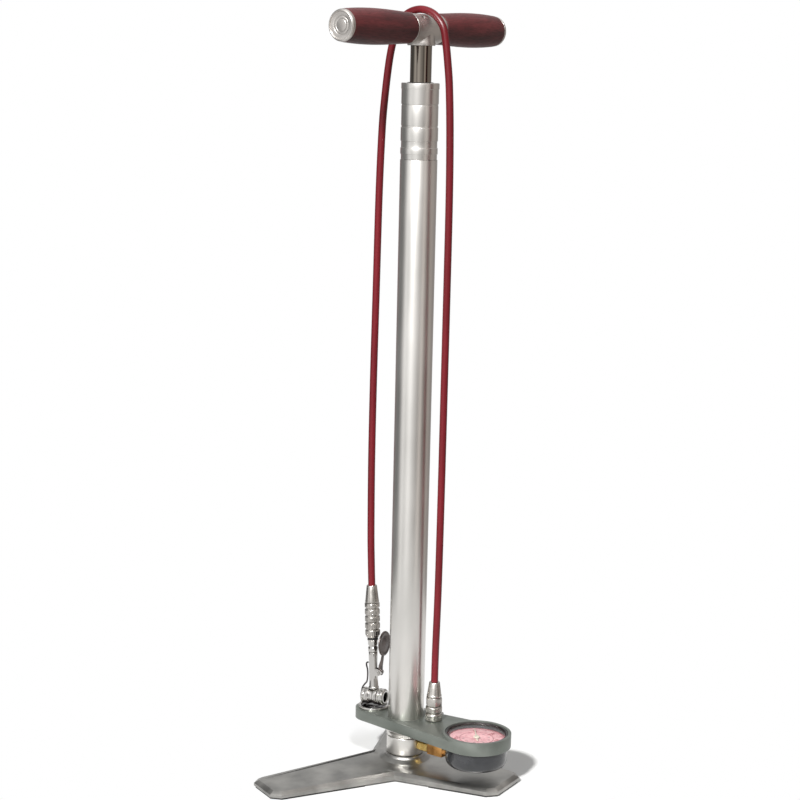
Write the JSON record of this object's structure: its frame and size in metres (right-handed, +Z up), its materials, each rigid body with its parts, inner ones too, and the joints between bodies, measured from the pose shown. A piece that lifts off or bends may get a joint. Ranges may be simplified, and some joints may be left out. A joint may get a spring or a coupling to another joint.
{
  "type": "floor bike pump",
  "caption": "Upright floor pump: alloy barrel on a splayed cast stand, tee handle with turned wooden grips, foot-level dial gauge, draped air hose and docked chuck.",
  "frame": {"origin": "centre of the footprint on the floor, measured without the hose and chuck; the barrel axis stands about 3 mm towards +X and 11 mm towards +Y of it", "axes": "+Z up the barrel, X along the handle, -Y towards the gauge and +Y towards the chuck dock"},
  "size_m": [0.2956, 0.213, 0.7358],
  "materials": {
    "cast_metal": "satin cast and tumbled",
    "foot_rubber": "matt",
    "steel_parts": "machined",
    "satin_alloy": "satin, drawn lengthwise",
    "chrome": "polished",
    "yoke_finish": "satin grey-green",
    "brass_parts": "machined",
    "gauge_black": "gloss black",
    "gauge_glass": "clear",
    "dial_print": "printed",
    "needle_paint": "painted",
    "rosewood": "oiled, turned",
    "hose_red": "smooth, satin",
    "seal_rubber": "matt",
    "cup_leather": "oiled",
    "bearing_plastic": "plain",
    "lever_coating": "dark satin",
    "magnet": "dark nickel"
  },
  "bodies": {
    "stand": {"base_casting": "cast_metal", "foot_pad_gauge_side": "foot_rubber", "foot_pad_left": "foot_rubber", "foot_pad_right": "foot_rubber", "base_bolt": "steel_parts", "lower_collar": "satin_alloy", "plug_seal": "seal_rubber", "valve_seat": "brass_parts", "valve_spring": "steel_parts", "barrel_tube": "satin_alloy", "yoke_lock_ring": "satin_alloy", "top_cap": "satin_alloy", "rod_bearing": "bearing_plastic", "rod_wiper": "seal_rubber", "yoke_plate": "yoke_finish", "dock_cup": "satin_alloy", "dock_magnet": "magnet", "gauge_case": "gauge_black", "gauge_dial": "dial_print", "gauge_glass": "gauge_glass", "gauge_bezel": "chrome", "gauge_movement": "brass_parts", "bourdon_tube": "brass_parts", "gauge_nut": "brass_parts", "gauge_block": "brass_parts", "hose_fitting": "steel_parts", "hose_hex_nut": "steel_parts", "hose_ferrule": "steel_parts", "air_hose": "hose_red", "chuck_head": "chrome", "chuck_nose": "chrome", "chuck_gasket": "seal_rubber", "chuck_stem": "chrome", "lever_pin": "steel_parts", "chuck_swivel": "chrome", "chuck_ring": "seal_rubber", "chuck_coupling": "steel_parts", "chuck_ferrule": "steel_parts", "chuck_hook": "steel_parts"},
    "piston": {"piston_cup": "cup_leather", "piston_body": "satin_alloy", "piston_bolt": "steel_parts", "piston_rod": "chrome"},
    "handle": {"handle_hub": "steel_parts", "hub_set_screw": "steel_parts", "handle_bar": "steel_parts", "grip_left": "rosewood", "grip_right": "rosewood", "end_cap_left": "steel_parts", "end_cap_right": "steel_parts"},
    "needle": {"needle_shaft": "steel_parts", "gauge_needle": "needle_paint"},
    "lever": {"chuck_lever": "lever_coating"},
    "valve": {"valve_disc": "seal_rubber"}
  },
  "joints": [
    {"name": "piston_stroke", "type": "slide", "parent": "stand", "child": "piston", "axis": [0, 0, 1], "range_m": [0, 0.5], "deforming": ["air_hose"]},
    {"name": "handle_turn", "type": "hinge", "parent": "piston", "child": "handle", "pos_m": [0.00335, 0.01088, 0.715], "axis": [0, 0, 1], "range_deg": [-30, 30]},
    {"name": "needle_sweep", "type": "hinge", "parent": "stand", "child": "needle", "pos_m": [0.00335, -0.07332, 0.0495], "axis": [0, 0, -1], "range_deg": [0, 270], "stiffness_Nm_per_rad": 0.002},
    {"name": "lever_swing", "type": "hinge", "parent": "stand", "child": "lever", "pos_m": [0.00463, 0.0445, 0.08872], "axis": [0.9848, 0.1734, -0.0084], "range_deg": [0, 10]},
    {"name": "valve_lift", "type": "slide", "parent": "stand", "child": "valve", "axis": [0, 0, -1], "range_m": [0, 0.0015], "stiffness_N_per_m": 200, "springref_m": -0.001, "deforming": ["valve_spring"]}
  ]
}
